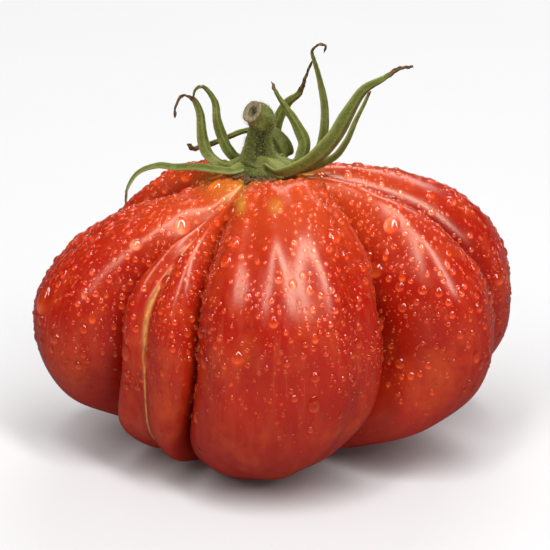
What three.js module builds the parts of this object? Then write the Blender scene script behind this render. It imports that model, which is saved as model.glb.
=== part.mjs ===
// Large ribbed tomato with its green calyx and a short piece of fruit stalk, in millimetres, +Z up.
// It rests on small flattened spots under its lobes; -Y is the front, where the fullest lobe points.
import * as THREE from "three";

// Fruit skin. Its points are given by azimuth and lift seen from one middle point on the stem axis.
const MIDDLE_HEIGHT = 32.0;
const STEM_AXIS_X = -2.8;
const FOOTPRINT_SHIFT = [-0.4, -0.4]; // puts the middle of the whole outline on the origin
const TOP_FLAT = 34.4; // height of the stem seat above the middle point
const BOTTOM_FLAT = 26.0; // depth of the blossom scar below the middle point
const ROWS = 38;
const COLUMNS_PER_LOBE = 10;

// Each lobe starts at a seam, given as its azimuth in degrees near the top, at the middle and near
// the bottom. seam is followed by how deep that seam is cut, and by the lobe's own reach, top and
// bottom. upper and lower are the exponents of its side outline: 2 is an ellipse, more is boxier.
// width is that exponent across the lobe, and fold how the skin meets at the seam: 0.5 turns in
// steeply like a circle, 1 is a plain crease.
const LOBES = [
  {
    seam: [-115, -113, -127], depth: 8, fold: 0.5,
    reach: 48, top: 39.5, bottom: 33, upper: 2.35, lower: 2.8, width: 2.8,
  },
  {
    seam: [-22, -40, -64], depth: 26, fold: 0.5,
    reach: 57, top: 35.5, bottom: 31, upper: 2.3, lower: 2.1, width: 2.3,
  },
  {
    seam: [-2, -7, 0], depth: 5, fold: 0.5,
    reach: 60, top: 36, bottom: 28, upper: 2.6, lower: 2.2, width: 2.2,
  },
  {
    seam: [30, 28, 25], depth: 6, fold: 0.5,
    reach: 54.3, top: 32, bottom: 34.5, upper: 2.4, lower: 2.3, width: 2.2,
  },
  {
    seam: [80, 80, 80], depth: 10, fold: 0.5,
    reach: 46, top: 30.5, bottom: 35, upper: 2.2, lower: 2.3, width: 2.2,
  },
  {
    seam: [118, 118, 118], depth: 9, fold: 0.5,
    reach: 46, top: 36.5, bottom: 35, upper: 2.1, lower: 2.3, width: 2.2,
  },
  {
    seam: [166, 161, 158], depth: 6, fold: 0.5,
    reach: 53.5, top: 32.5, bottom: 31.5, upper: 2, lower: 2.3, width: 2.2,
  },
  {
    seam: [238, 215, 185], depth: 12, fold: 0.5,
    reach: 41.5, top: 31.5, bottom: 31, upper: 2.3, lower: 3.4, width: 2,
  },
  {
    seam: [241, 229, 226], depth: 1.6, fold: 0.95,
    reach: 42, top: 33, bottom: 31.5, upper: 2.3, lower: 3.2, width: 2.3,
  },
];

// Shallow valleys down the front lobe: where across the lobe, how wide, how deep, and over which lift.
const FRONT_VALLEYS = [
  { across: -0.5, width: 0.14, depth: 1.2, from: -5, to: 80 },
  { across: -0.05, width: 0.17, depth: 1.0, from: 5, to: 80 },
  { across: 0.44, width: 0.12, depth: 1.3, from: -25, to: 65 },
];

// Calyx disc and stalk.
const SEAT_HEIGHT = MIDDLE_HEIGHT + TOP_FLAT;
const GAP = 0.3;
const DISC_RADIUS = 5.9;
const DISC_THICKNESS = 2.2;
const DISC_SCALLOP = 0.05;
const STALK_BASE = SEAT_HEIGHT + GAP + DISC_THICKNESS + GAP;

// Stalk centre line, from the disc up to the cut end, and its radius along that line.
const STALK_LINE = [
  [-3.4, 0, STALK_BASE],
  [-3.4, 0, STALK_BASE + 2.4],
  [-3.4, 0, STALK_BASE + 5],
  [-3.0, 0.2, STALK_BASE + 7.6],
  [-2.5, 0.2, STALK_BASE + 9.5],
  [-3.2, -0.5, STALK_BASE + 11.3],
  [-4.9, -1.9, STALK_BASE + 12.85],
];
const STALK_STATIONS = [
  { at: 0, radius: 0 },
  { at: 0, radius: 4.5 },
  { at: 0.04, radius: 4.9 },
  { at: 0.12, radius: 4.4 },
  { at: 0.22, radius: 3.8 },
  { at: 0.34, radius: 3.25 },
  { at: 0.44, radius: 2.95 },
  { at: 0.53, radius: 2.75 },
  { at: 0.61, radius: 2.8 },
  { at: 0.69, radius: 3.05 },
  { at: 0.77, radius: 3.2 },
  { at: 0.85, radius: 3.05 },
  { at: 0.93, radius: 2.8 },
  { at: 1, radius: 2.65 },
  { at: 1, radius: 1.9 },
  { at: 0.975, radius: 1.0 },
  { at: 0.97, radius: 0 },
];
const STALK_AROUND = 24;
const STALK_RIBS = 5;
const STALK_RIB_DEPTH = 0.07;

// Sepals. base is the azimuth where each leaves the disc; line is its centre line beyond that;
// flat is the direction its blade is spread in; width and thickness are its largest. narrow says
// over which share of the length it narrows, where that is not from 0.3 to the tip.
const SEPAL_BASE_RADIUS = 7.0;
const SEPAL_BASE_HEIGHT = SEAT_HEIGHT + 1.3;
const SEPAL_STATIONS = 20;
const SEPAL_AROUND = 10;
const SEPAL_CUP = 0.22;
const SEPALS = [
  {
    name: "sepal_left_low", base: 200, flat: [0.1, 1, 0.1], width: 3.2, thickness: 1.3,
    line: [[-12, -3, 68.3], [-17.5, 0, 68.3], [-23, 3, 67.3], [-27, 4, 67.3], [-31.5, 4, 65.5],
      [-34, 2, 62], [-34.2, -1.4, 59.3]],
  },
  {
    name: "sepal_left_hooked", base: 165, flat: [0.8, 0.6, 0], width: 3.0, thickness: 1.2,
    line: [[-12, 1, 68.5], [-15.5, 3, 71], [-16.5, 4, 75.5], [-17, 5, 80], [-18.5, 5, 83],
      [-21, 4, 84], [-22.5, 3, 82], [-22.7, 3, 79]],
  },
  {
    name: "sepal_left_upright", base: 132, flat: [0.9, 0.4, 0], width: 2.7, thickness: 1.2,
    line: [[-9.2, 4.4, 69.3], [-11.5, 4.7, 73], [-13, 5, 78], [-13.5, 6, 82], [-15, 6, 84.5],
      [-16.5, 5, 86], [-18, 4, 85.5], [-18.5, 4, 83.5]],
  },
  {
    name: "sepal_crossing", base: 52, flat: [0.7, 0, 0.7], width: 5.2, thickness: 1.2, narrow: [0.2, 0.55],
    line: [[2.3, 5.2, 69.6], [1.8, 5.5, 71.4], [0.2, 6.2, 73.6], [-2.8, 7, 74.6], [-6.1, 8, 74.5],
      [-10.4, 8.5, 72.8], [-15, 9, 70.7], [-19, 9, 69.8], [-20.3, 9, 70.9]],
  },
  {
    name: "sepal_rear", base: 94, flat: [0.95, -0.2, 0.2], width: 3.0, thickness: 1.2,
    line: [[-1.5, 8.6, 69], [0, 10, 72.5], [1.5, 10.4, 77.5], [3.5, 10.4, 80.6], [6, 9.6, 83],
      [7.6, 8, 87.6], [9, 7, 91.6]],
  },
  {
    name: "sepal_leaning", base: -2, flat: [0.9, 0.3, 0.3], width: 3.2, thickness: 1.2,
    line: [[5.8, 0.5, 68.9], [6.8, 1.2, 70.6], [7.3, 2, 73], [6.1, 3, 76.2], [3.6, 4, 80.2],
      [1, 5, 84], [-0.5, 6, 87]],
  },
  {
    name: "sepal_tall", base: 26, flat: [0.6, 0.8, 0], width: 2.9, thickness: 1.2,
    line: [[7.5, 4, 68.2], [10.5, 5, 70.5], [12, 6, 75], [12, 7, 81], [11, 7, 86.5], [9.5, 6, 92],
      [9, 5, 94.5], [10.5, 4, 96.3], [12, 4, 95.9], [11.6, 5, 94]],
  },
  {
    name: "sepal_right_broad", base: -62, flat: [0.6, 0.5, -0.6], width: 4.8, thickness: 1.3,
    line: [[3, -6.2, 68.5], [8, -6.4, 71], [13, -6, 75.5], [17, -5, 82], [20.5, -4, 87.5],
      [25, -3, 90], [29, -2, 92.3], [32, -2, 92.5]],
  },
  {
    name: "sepal_right_low", base: -32, flat: [0.5, 0.7, -0.5], width: 3.7, thickness: 1.2,
    line: [[6, -3.2, 68.2], [10, -3, 69.2], [14.5, -2, 71.3], [17, -1, 74.5], [19, 0, 79],
      [21, 1, 83], [22.5, 2, 86]],
  },
];

const DEGREE = Math.PI / 180;

// Goes smoothly from 0 at low to 1 at high.
function ease(low, high, value) {
  return THREE.MathUtils.smoothstep(value, low, high);
}

function lobeAt(index) {
  return LOBES[index % LOBES.length];
}

// Azimuth, in degrees, of the seam where a lobe starts, at a given lift.
function seamAzimuth(index, lift) {
  const [top, middle, bottom] = lobeAt(index).seam;
  const turn = index >= LOBES.length ? 360 : 0;
  return turn + middle + (top - middle) * ease(15, 80, lift) + (bottom - middle) * ease(0, 60, -lift);
}

// Distance from the middle point to the crest of a lobe.
function crestRadius(index, lift) {
  const lobe = lobeAt(index);
  const across = Math.abs(Math.cos(lift * DEGREE));
  const along = Math.abs(Math.sin(lift * DEGREE));
  const power = lift >= 0 ? lobe.upper : lobe.lower;
  const height = lift >= 0 ? lobe.top : lobe.bottom;
  const side = ((across / lobe.reach) ** power + (along / height) ** power) ** (-1 / power);
  const flat = (lift >= 0 ? TOP_FLAT : BOTTOM_FLAT) / Math.max(along, 0.5);
  const blend = lift >= 0 ? ease(62, 80, lift) : ease(64, 80, -lift);
  return side * (1 - blend) + flat * blend;
}

// Distance from the middle point to the bottom of the seam where a lobe starts.
function seamRadius(index, lift) {
  const last = LOBES.length - 1;
  const crest = Math.min(crestRadius(index + last, lift), crestRadius(index, lift));
  const fade = lift > 0 ? ease(10, 48, 90 - lift) : ease(10, 42, 90 + lift);
  return crest - lobeAt(index).depth * fade;
}

// Point of the skin on a lobe. across runs from -1 at its first seam to 1 at its last.
function skinPoint(index, across, lift) {
  const lobe = lobeAt(index);
  const share = (across + 1) / 2;
  const fold = lobe.fold * (1 - share) + lobeAt(index + 1).fold * share;
  const bulge = Math.max(0, 1 - Math.abs(across) ** lobe.width) ** fold;
  const low = seamRadius(index, lift) * (1 - share) + seamRadius(index + 1, lift) * share;
  let radius = low + (crestRadius(index, lift) - low) * bulge;
  if (index === 0) {
    for (const valley of FRONT_VALLEYS) {
      const shape = Math.exp(-(((across - valley.across) / valley.width) ** 2));
      const reach = ease(valley.from - 20, valley.from + 10, lift) * (1 - ease(valley.to - 25, valley.to, lift));
      radius -= valley.depth * shape * reach;
    }
  }
  const azimuth = seamAzimuth(index, lift) * (1 - share) + seamAzimuth(index + 1, lift) * share;
  const flatRadius = radius * Math.cos(lift * DEGREE);
  return new THREE.Vector3(
    STEM_AXIS_X + flatRadius * Math.cos(azimuth * DEGREE),
    flatRadius * Math.sin(azimuth * DEGREE),
    MIDDLE_HEIGHT + radius * Math.sin(lift * DEGREE),
  );
}

// A sphere whose points are moved onto the skin; what would go below the ground is flattened.
function fruitGeometry() {
  const columns = LOBES.length * COLUMNS_PER_LOBE;
  const geometry = new THREE.SphereGeometry(1, columns, ROWS);
  const position = geometry.attributes.position;
  for (let k = 0; k < position.count; k += 1) {
    const row = Math.floor(k / (columns + 1));
    const column = k % (columns + 1) % columns;
    const index = Math.floor(column / COLUMNS_PER_LOBE);
    const step = column % COLUMNS_PER_LOBE;
    const across = -Math.cos((Math.PI * step) / COLUMNS_PER_LOBE);
    const point = skinPoint(index, across, 90 - (180 * row) / ROWS);
    position.setXYZ(k, point.x, point.y, Math.max(0, point.z));
  }
  geometry.computeVertexNormals();
  return geometry;
}

// A sphere whose rows become rings along a line. Each station has the half width and half thickness
// of its ring, and how far the ring's edges are lifted to cup the blade.
function solidAlong(line, stations, around, flat) {
  const curve = new THREE.CatmullRomCurve3(line.map((p) => new THREE.Vector3(...p)), false, "centripetal");
  const geometry = new THREE.SphereGeometry(1, around, stations.length - 1);
  const position = geometry.attributes.position;
  const spread = new THREE.Vector3(...flat);
  for (let row = 0; row < stations.length; row += 1) {
    const station = stations[row];
    const centre = curve.getPointAt(station.at);
    const along = curve.getTangentAt(station.at);
    const wide = spread.clone().addScaledVector(along, -spread.dot(along)).normalize();
    const thick = new THREE.Vector3().crossVectors(wide, along);
    for (let k = 0; k <= around; k += 1) {
      const angle = (2 * Math.PI * (k % around)) / around;
      const rib = 1 + station.rib * Math.cos(STALK_RIBS * angle);
      const cup = station.cup * station.halfWidth * (Math.cos(angle) ** 2 - 0.5);
      const point = centre
        .clone()
        .addScaledVector(wide, rib * station.halfWidth * Math.cos(angle))
        .addScaledVector(thick, rib * station.halfThickness * Math.sin(angle) - cup);
      position.setXYZ(row * (around + 1) + k, point.x, point.y, point.z);
    }
  }
  geometry.computeVertexNormals();
  return geometry;
}

function stalkGeometry() {
  const stations = STALK_STATIONS.map(({ at, radius }) => ({
    at,
    halfWidth: radius,
    halfThickness: radius,
    rib: STALK_RIB_DEPTH * (1 - at),
    cup: 0,
  }));
  return solidAlong(STALK_LINE, stations, STALK_AROUND, [1, 0, 0]);
}

// Flat-bottomed disc with a softly scalloped rim, one scallop to a sepal.
function discGeometry() {
  const profile = [
    [0, 0], [0.55, 0], [0.92, 0.04], [1, 0.25], [0.97, 0.55], [0.85, 0.85], [0.6, 1], [0, 1],
  ];
  const around = 36;
  const geometry = new THREE.SphereGeometry(1, around, profile.length - 1);
  const position = geometry.attributes.position;
  for (let k = 0; k < position.count; k += 1) {
    const row = Math.floor(k / (around + 1));
    const angle = (2 * Math.PI * (k % (around + 1) % around)) / around;
    const [share, rise] = profile[profile.length - 1 - row];
    const radius = DISC_RADIUS * share * (1 - DISC_SCALLOP * (1 + Math.cos(SEPALS.length * angle)));
    position.setXYZ(
      k,
      STEM_AXIS_X + radius * Math.cos(angle),
      radius * Math.sin(angle),
      SEAT_HEIGHT + GAP + DISC_THICKNESS * rise,
    );
  }
  geometry.computeVertexNormals();
  return geometry;
}

// A sepal is broadest a quarter of the way along and runs out to a fine tip.
function sepalGeometry(sepal) {
  const base = new THREE.Vector3(
    STEM_AXIS_X + SEPAL_BASE_RADIUS * Math.cos(sepal.base * DEGREE),
    SEPAL_BASE_RADIUS * Math.sin(sepal.base * DEGREE),
    SEPAL_BASE_HEIGHT,
  );
  const stations = [];
  for (let k = 0; k <= SEPAL_STATIONS; k += 1) {
    const at = (1 - Math.cos((Math.PI * k) / SEPAL_STATIONS)) / 2;
    const end = Math.sqrt(Math.min(1, 8 * at)) * Math.min(1, Math.sqrt(30 * (1 - at)));
    const blade = (0.62 + 0.38 * ease(0, 0.28, at)) * (1 - 0.75 * ease(...(sepal.narrow ?? [0.3, 1]), at));
    stations.push({
      at,
      halfWidth: (sepal.width / 2) * blade * end,
      halfThickness: (sepal.thickness / 2) * (1 - 0.45 * at) * end,
      rib: 0,
      cup: SEPAL_CUP,
    });
  }
  return solidAlong([base.toArray(), ...sepal.line], stations, SEPAL_AROUND, sepal.flat);
}

function part(name, geometry, color, roughness) {
  const material = new THREE.MeshStandardMaterial({ color, roughness });
  geometry.translate(FOOTPRINT_SHIFT[0], FOOTPRINT_SHIFT[1], 0);
  const mesh = new THREE.Mesh(geometry, material);
  mesh.name = name;
  return mesh;
}

const tomato = new THREE.Group();
tomato.name = "tomato";
tomato.add(part("fruit", fruitGeometry(), 0xc8321a, 0.25));
tomato.add(part("calyx_disc", discGeometry(), 0x6e7a32, 0.7));
tomato.add(part("stalk", stalkGeometry(), 0x77833a, 0.7));
for (const sepal of SEPALS) {
  tomato.add(part(sepal.name, sepalGeometry(sepal), 0x5c6e2a, 0.65));
}

export default tomato;
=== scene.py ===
"""Builds the finish of a ribbed tomato around its frame: skin, calyx, stalk, sepals, hairs and water drops.

Sizes of the frame are in metres. The shape formulas below work in millimetres, in the frame's axes,
and MM brings them to metres when a mesh is made.
"""

import math

import bpy
import numpy as np
from bpy.props import FloatProperty, FloatVectorProperty, IntProperty, PointerProperty
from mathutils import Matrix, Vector
from mathutils.bvhtree import BVHTree


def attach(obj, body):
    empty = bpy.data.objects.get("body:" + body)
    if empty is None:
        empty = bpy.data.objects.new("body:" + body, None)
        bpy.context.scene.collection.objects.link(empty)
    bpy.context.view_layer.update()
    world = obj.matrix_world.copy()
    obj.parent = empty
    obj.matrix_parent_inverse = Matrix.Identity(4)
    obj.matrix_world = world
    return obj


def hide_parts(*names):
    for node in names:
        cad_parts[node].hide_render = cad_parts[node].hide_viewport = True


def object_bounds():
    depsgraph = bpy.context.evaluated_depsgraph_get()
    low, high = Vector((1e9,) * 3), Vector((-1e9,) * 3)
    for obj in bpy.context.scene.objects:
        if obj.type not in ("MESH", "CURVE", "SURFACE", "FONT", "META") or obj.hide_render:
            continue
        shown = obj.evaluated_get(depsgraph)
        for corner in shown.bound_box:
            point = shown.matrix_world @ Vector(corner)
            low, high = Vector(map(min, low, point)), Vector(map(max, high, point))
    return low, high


bl_info = {
    "name": "Ribbed tomato",
    "version": (1, 0, 0),
    "blender": (4, 5, 0),
    "location": "3D View > Sidebar > Tomato",
    "description": "Builds a ribbed tomato with its calyx, hairs and water drops around its frame",
    "category": "Add Mesh",
}

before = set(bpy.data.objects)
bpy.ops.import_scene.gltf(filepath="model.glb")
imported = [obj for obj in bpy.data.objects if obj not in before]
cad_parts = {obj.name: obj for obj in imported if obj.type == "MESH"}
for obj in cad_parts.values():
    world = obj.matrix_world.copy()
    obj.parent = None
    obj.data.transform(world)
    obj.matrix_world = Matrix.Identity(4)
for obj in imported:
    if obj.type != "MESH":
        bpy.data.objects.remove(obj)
CAD_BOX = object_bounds()
MM = 0.001
BODY = "root"

# The skin, as in the frame: it is seen from one middle point on the stem axis.
MIDDLE_HEIGHT = 32.0
STEM_AXIS_X = -2.8
FOOTPRINT_SHIFT = np.array([-0.4, -0.4, 0.0])
TOP_FLAT = 34.4
BOTTOM_FLAT = 26.0
SEAT_HEIGHT = MIDDLE_HEIGHT + TOP_FLAT

# Lobes by name: seam azimuths near the top, at the middle and near the bottom, depth of that seam,
# power of the bulge beside it (0.5 makes a tight crease, 1 a soft one), reach, top, bottom,
# exponents of the side outline above and below, and of the outline across.
LOBES = {
    "front": ((-115, -113, -127), 8, 0.5, 48, 39.5, 33, 2.35, 2.8, 2.8),
    "front_right": ((-22, -40, -64), 26, 0.5, 57, 35.5, 31, 2.3, 2.1, 2.3),
    "right": ((-2, -7, 0), 5, 0.5, 60, 36, 28, 2.6, 2.2, 2.2),
    "rear_right": ((30, 28, 25), 6, 0.5, 54.3, 32, 34.5, 2.4, 2.3, 2.2),
    "rear": ((80, 80, 80), 10, 0.5, 46, 30.5, 35, 2.2, 2.3, 2.2),
    "rear_left": ((118, 118, 118), 9, 0.5, 46, 36.5, 35, 2.1, 2.3, 2.2),
    "left": ((166, 161, 158), 6, 0.5, 53.5, 32.5, 31.5, 2, 2.3, 2.2),
    "pair_left": ((238, 215, 185), 12, 0.5, 41.5, 31.5, 31, 2.3, 3.4, 2),
    "pair_right": ((241, 229, 226), 1.6, 0.95, 42, 33, 31.5, 2.3, 3.2, 2.3),
}
LOBE_NAMES = list(LOBES)
# Where across the front lobe each shallow valley runs, its width, depth, and lifts from and to.
FRONT_VALLEYS = [(-0.5, 0.14, 1.2, -5, 80), (-0.05, 0.17, 1.0, 5, 80), (0.44, 0.12, 1.3, -25, 65)]
SKIN_ROWS = 168
COLUMNS_PER_DEGREE = 1.2
LEAST_COLUMNS = 16

# Calyx, stalk and sepals, close to those of the frame.
STALK_BASE = SEAT_HEIGHT + 2.8
STALK_LINE = [
    (-3.4, 0, STALK_BASE), (-3.4, 0, STALK_BASE + 2.4), (-3.4, 0, STALK_BASE + 5),
    (-3.0, 0.2, STALK_BASE + 7.6), (-2.5, 0.2, STALK_BASE + 9.5), (-3.2, -0.5, STALK_BASE + 11.3),
    (-4.9, -1.9, STALK_BASE + 12.85),
]
STALK_RADII = [
    (0, 4.5), (0.04, 4.9), (0.12, 4.4), (0.22, 3.8), (0.34, 3.25), (0.44, 2.95), (0.53, 2.75),
    (0.61, 2.8), (0.69, 3.05), (0.77, 3.2), (0.85, 3.05), (0.93, 2.8), (1, 2.65),
]
SEPAL_ROOT_RADIUS = 3.8
SEPAL_BASE_RADIUS = 7.0
SEPAL_BASE_HEIGHT = SEAT_HEIGHT + 1.3
SEPAL_CUP = 0.3

# Sepals by name: azimuth of the base, direction the blade is spread in, width and thickness,
# share of the length where it starts to dry, over which share it narrows, and its centre line.
SEPALS = {
    "sepal_left_low": (200, (0.1, 1, 0.1), 3.2, 1.3, 0.9, (0.3, 1), [
        (-12, -3, 68.3), (-17.5, 0, 68.3), (-23, 3, 67.3), (-27, 4, 67.3), (-31.5, 4, 65.5),
        (-34, 2, 62), (-34.2, -1.4, 59.3)]),
    "sepal_left_hooked": (165, (0.8, 0.6, 0), 3.0, 1.2, 0.72, (0.3, 1), [
        (-12, 1, 68.5), (-15.5, 3, 71), (-16.5, 4, 75.5), (-17, 5, 80), (-18.5, 5, 83),
        (-21, 4, 84), (-22.5, 3, 82), (-22.7, 3, 79)]),
    "sepal_left_upright": (132, (0.9, 0.4, 0), 2.7, 1.2, 0.97, (0.3, 1), [
        (-9.2, 4.4, 69.3), (-11.5, 4.7, 73), (-13, 5, 78), (-13.5, 6, 82), (-15, 6, 84.5),
        (-16.5, 5, 86), (-18, 4, 85.5), (-18.5, 4, 83.5)]),
    "sepal_crossing": (52, (0.7, 0, 0.7), 5.2, 1.2, 0.88, (0.2, 0.55), [
        (2.3, 5.2, 69.6), (1.8, 5.5, 71.4), (0.2, 6.2, 73.6), (-2.8, 7, 74.6), (-6.1, 8, 74.5),
        (-10.4, 8.5, 72.8), (-15, 9, 70.7), (-19, 9, 69.8), (-20.3, 9, 70.9)]),
    "sepal_rear": (94, (0.95, -0.2, 0.2), 3.0, 1.2, 0.74, (0.3, 1), [
        (-1.5, 8.6, 69), (0, 10, 72.5), (1.5, 10.4, 77.5), (3.5, 10.4, 80.6), (6, 9.6, 83),
        (7.6, 8, 87.6), (9, 7, 91.6)]),
    "sepal_leaning": (-2, (0.9, 0.3, 0.3), 3.2, 1.2, 0.93, (0.3, 1), [
        (5.8, 0.5, 68.9), (6.8, 1.2, 70.6), (7.3, 2, 73), (6.1, 3, 76.2), (3.6, 4, 80.2),
        (1, 5, 84), (-0.5, 6, 87)]),
    "sepal_tall": (26, (0.6, 0.8, 0), 2.9, 1.2, 0.86, (0.3, 1), [
        (7.5, 4, 68.2), (10.5, 5, 70.5), (12, 6, 75), (12, 7, 81), (11, 7, 86.5), (9.5, 6, 92),
        (9, 5, 94.5), (10.5, 4, 96.3), (12, 4, 95.9), (11.6, 5, 94)]),
    "sepal_right_broad": (-50, (0.6, 0.5, -0.6), 4.8, 1.3, 0.87, (0.3, 1), [
        (3, -6.2, 68.5), (8, -6.4, 71), (13, -6, 75.5), (17, -5, 82), (20.5, -4, 87.5),
        (25, -3, 90), (29, -2, 92.3), (32, -2, 92.5)]),
    "sepal_right_low": (-32, (0.5, 0.7, -0.5), 3.7, 1.2, 0.95, (0.3, 1), [
        (6, -3.2, 68.2), (10, -3, 69.2), (14.5, -2, 71.3), (17, -1, 74.5), (19, 0, 79),
        (21, 1, 83), (22.5, 2, 86)]),
}

# A drop more than this many times as long as it is wide is a tear with its narrow end uphill.
LONG_DROP = 1.45


# ---------------------------------------------------------------- shape formulas, in millimetres

def ease(low, high, value):
    """Goes smoothly from 0 at low to 1 at high."""
    share = np.clip((np.asarray(value, float) - low) / (high - low), 0, 1)
    return share * share * (3 - 2 * share)


def peak(centre, width, value):
    """A soft bump, 1 at centre."""
    return np.exp(-(((value - centre) / width) ** 2))


def ripple(points, wavelength, seed, waves=9):
    """Smooth waves of about one wavelength, mostly between -1 and 1, in seeded directions."""
    rng = np.random.default_rng(seed)
    total = np.zeros(points.shape[:-1])
    for _ in range(waves):
        direction = rng.normal(size=3)
        direction *= 2 * math.pi / (wavelength * np.linalg.norm(direction))
        total += np.sin(points @ direction + rng.uniform(0, 2 * math.pi))
    return total / math.sqrt(waves)


def lobe_at(index):
    return LOBES[LOBE_NAMES[index % len(LOBES)]]


def seam_azimuth(index, lift):
    top, middle, bottom = lobe_at(index)[0]
    turn = 360 if index >= len(LOBES) else 0
    return turn + middle + (top - middle) * ease(15, 80, lift) + (bottom - middle) * ease(0, 60, -lift)


def crest_radius(index, lift):
    _, _, _, reach, top, bottom, upper, lower, _ = lobe_at(index)
    across = np.abs(np.cos(np.radians(lift)))
    along = np.abs(np.sin(np.radians(lift)))
    rising = lift >= 0
    power = np.where(rising, upper, lower)
    height = np.where(rising, top, bottom)
    side = ((across / reach) ** power + (along / height) ** power) ** (-1 / power)
    flat = np.where(rising, TOP_FLAT, BOTTOM_FLAT) / np.maximum(along, 0.5)
    blend = np.where(rising, ease(62, 80, lift), ease(64, 80, -lift))
    return side * (1 - blend) + flat * blend


def seam_radius(index, lift):
    crest = np.minimum(crest_radius(index + len(LOBES) - 1, lift), crest_radius(index, lift))
    fade = np.where(lift > 0, ease(10, 48, 90 - lift), ease(10, 42, 90 + lift))
    return crest - lobe_at(index)[1] * fade


def skin_point(index, across, lift):
    """Point of the skin on a lobe. across runs from -1 at its first seam to 1 at its last."""
    lift = np.asarray(lift, float)
    share = (across + 1) / 2
    fold = lobe_at(index)[2] * (1 - share) + lobe_at(index + 1)[2] * share
    bulge = np.maximum(0, 1 - np.abs(across) ** lobe_at(index)[8]) ** fold
    low = seam_radius(index, lift) * (1 - share) + seam_radius(index + 1, lift) * share
    radius = low + (crest_radius(index, lift) - low) * bulge
    if index == 0:
        for centre, width, depth, start, end in FRONT_VALLEYS:
            reach = ease(start - 20, start + 10, lift) * (1 - ease(end - 25, end, lift))
            radius = radius - depth * peak(centre, width, across) * reach
    azimuth = np.radians(seam_azimuth(index, lift) * (1 - share) + seam_azimuth(index + 1, lift) * share)
    flat = radius * np.cos(np.radians(lift))
    height = MIDDLE_HEIGHT + radius * np.sin(np.radians(lift))
    point = np.stack([STEM_AXIS_X + flat * np.cos(azimuth), flat * np.sin(azimuth), height], -1)
    return point + FOOTPRINT_SHIFT


def smooth_line(points, count):
    """Evenly spaced points and directions on a centripetal Catmull-Rom curve through the points."""
    points = np.array(points, float)
    ends = np.vstack([2 * points[0] - points[1], points, 2 * points[-1] - points[-2]])
    fine = []
    steps = 24
    for p0, p1, p2, p3 in zip(ends[:-3], ends[1:-2], ends[2:-1], ends[3:]):
        d0, d1, d2 = (np.sqrt(np.linalg.norm(b - a)) for a, b in ((p0, p1), (p1, p2), (p2, p3)))
        t1 = d1 * ((p1 - p0) / d0 - (p2 - p0) / (d0 + d1) + (p2 - p1) / d1)
        t2 = d1 * ((p2 - p1) / d1 - (p3 - p1) / (d1 + d2) + (p3 - p2) / d2)
        t = np.arange(steps)[:, None] / steps
        cubic = 2 * p1 - 2 * p2 + t1 + t2
        square = -3 * p1 + 3 * p2 - 2 * t1 - t2
        fine.append(p1 + t1 * t + square * t**2 + cubic * t**3)
    fine = np.vstack([*fine, points[-1:]])
    length = np.concatenate([[0], np.cumsum(np.linalg.norm(np.diff(fine, axis=0), axis=1))])
    wanted = np.linspace(0, length[-1], count)
    line = np.stack([np.interp(wanted, length, fine[:, k]) for k in range(3)], -1)
    along = np.gradient(line, axis=0)
    return line, along / np.linalg.norm(along, axis=1, keepdims=True)


# ---------------------------------------------------------------- meshes

def new_piece(name, points, faces, material, replaced=()):
    """A smooth mesh object from points in millimetres, which rides on the frame's body."""
    mesh = bpy.data.meshes.new(name)
    mesh.from_pydata((np.asarray(points) * MM).tolist(), [], faces)
    mesh.polygons.foreach_set("use_smooth", np.ones(len(mesh.polygons), bool))
    mesh.materials.append(material)
    mesh.update()
    piece = bpy.data.objects.new(name, mesh)
    bpy.context.scene.collection.objects.link(piece)
    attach(piece, BODY)
    if replaced:
        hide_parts(*replaced)
    return piece


def set_mask(piece, name, values):
    """Stores one number for each vertex, for the material to read."""
    attribute = piece.data.attributes.new(name, "FLOAT", "POINT")
    attribute.data.foreach_set("value", np.asarray(values, np.float32).ravel())


def ring_faces(rings, around, start=0):
    """Faces of a closed body made of rings of points, with one point before and one after them."""
    faces = []
    first = start + 1
    for k in range(around):
        faces.append((start, first + (k + 1) % around, first + k))
    for row in range(rings - 1):
        low = first + row * around
        high = low + around
        for k in range(around):
            after = (k + 1) % around
            faces.append((low + k, low + after, high + after, high + k))
    last = first + rings * around
    low = last - around
    for k in range(around):
        faces.append((low + k, low + (k + 1) % around, last))
    return faces


def closed_body(rings):
    """Points and faces of a body from rings shaped (rings, around, 3), closed by a point at each end."""
    count, around = rings.shape[:2]
    points = np.vstack([rings[0].mean(0), rings.reshape(-1, 3), rings[-1].mean(0)])
    return points, ring_faces(count, around)


def with_ends(values):
    """Ring values with those of the two end points added."""
    return np.concatenate([[values[0].mean()], values.ravel(), [values[-1].mean()]])


def map_rings(piece, rings, around):
    """Lays the rings out as one rectangle, so that a texture can be made for the piece."""
    layer = piece.data.uv_layers.new(name="OFBake")
    corner = np.zeros(len(piece.data.loops), int)
    piece.data.loops.foreach_get("vertex_index", corner)
    place = np.clip(corner - 1, 0, rings * around - 1)
    u = (place % around).astype(float)
    v = 1.0 + place // around
    v[corner == 0] = 0.0
    v[corner == rings * around + 1] = rings + 1.0
    start = np.zeros(len(piece.data.polygons), int)
    total = np.zeros(len(piece.data.polygons), int)
    piece.data.polygons.foreach_get("loop_start", start)
    piece.data.polygons.foreach_get("loop_total", total)
    at_end = (corner == 0) | (corner == rings * around + 1)
    for size in (3, 4):
        chosen = start[total == size][:, None] + np.arange(size)
        values = u[chosen]
        ends = at_end[chosen]
        ring_values = np.where(ends, np.nan, values)
        wraps = (np.nanmax(ring_values, 1) - np.nanmin(ring_values, 1)) > around / 2
        values = np.where(wraps[:, None] & (values == 0), around, values)
        middle = np.nanmean(np.where(ends, np.nan, values), 1)
        u[chosen] = np.where(ends, middle[:, None], values)
    layer.data.foreach_set("uv", np.stack([u / around, v / (rings + 1)], -1).astype(np.float32).ravel())


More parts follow.
